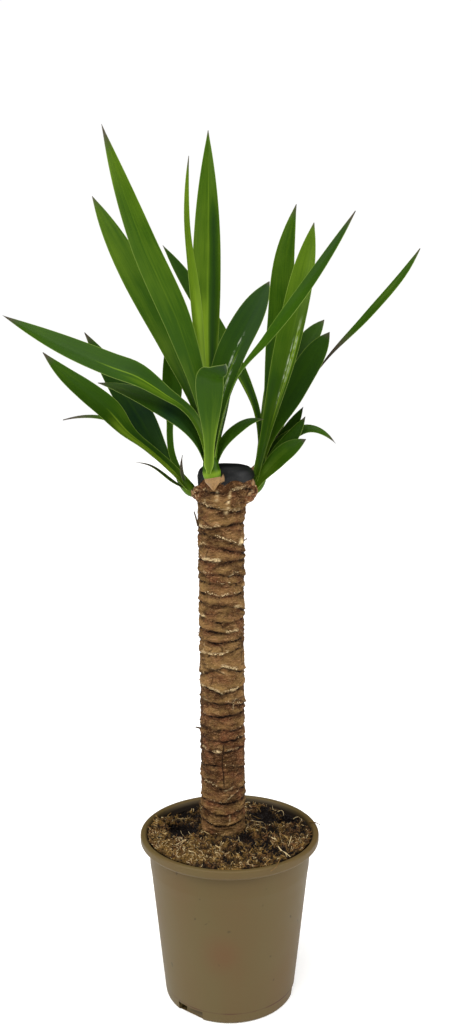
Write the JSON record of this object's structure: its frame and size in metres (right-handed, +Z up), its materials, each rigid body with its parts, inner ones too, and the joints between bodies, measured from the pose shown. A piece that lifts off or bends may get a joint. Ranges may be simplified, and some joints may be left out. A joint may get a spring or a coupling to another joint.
{
  "type": "potted yucca",
  "caption": "Potted yucca house plant: a ringed woody cane with a sealed top and leafy shoots of long blades, standing in soil in a round plastic nursery pot.",
  "frame": {"origin": "middle of the pot's underside, on the surface that the pot stands on", "axes": "+Z up, along the cane; -Y towards the side that the picture shows; +X to the right of that view"},
  "size_m": [0.3557, 0.2448, 0.791],
  "materials": {
    "pot_plastic": "matte",
    "peat": "matte",
    "bark": "matte",
    "grafting_wax": "satin",
    "leaf": "satin"
  },
  "bodies": {
    "root": {"pot": "pot_plastic", "soil": "peat", "cane": "bark", "wax_seal": "grafting_wax", "shoot_front": "leaf", "shoot_left": "leaf", "shoot_right": "leaf"}
  },
  "joints": []
}
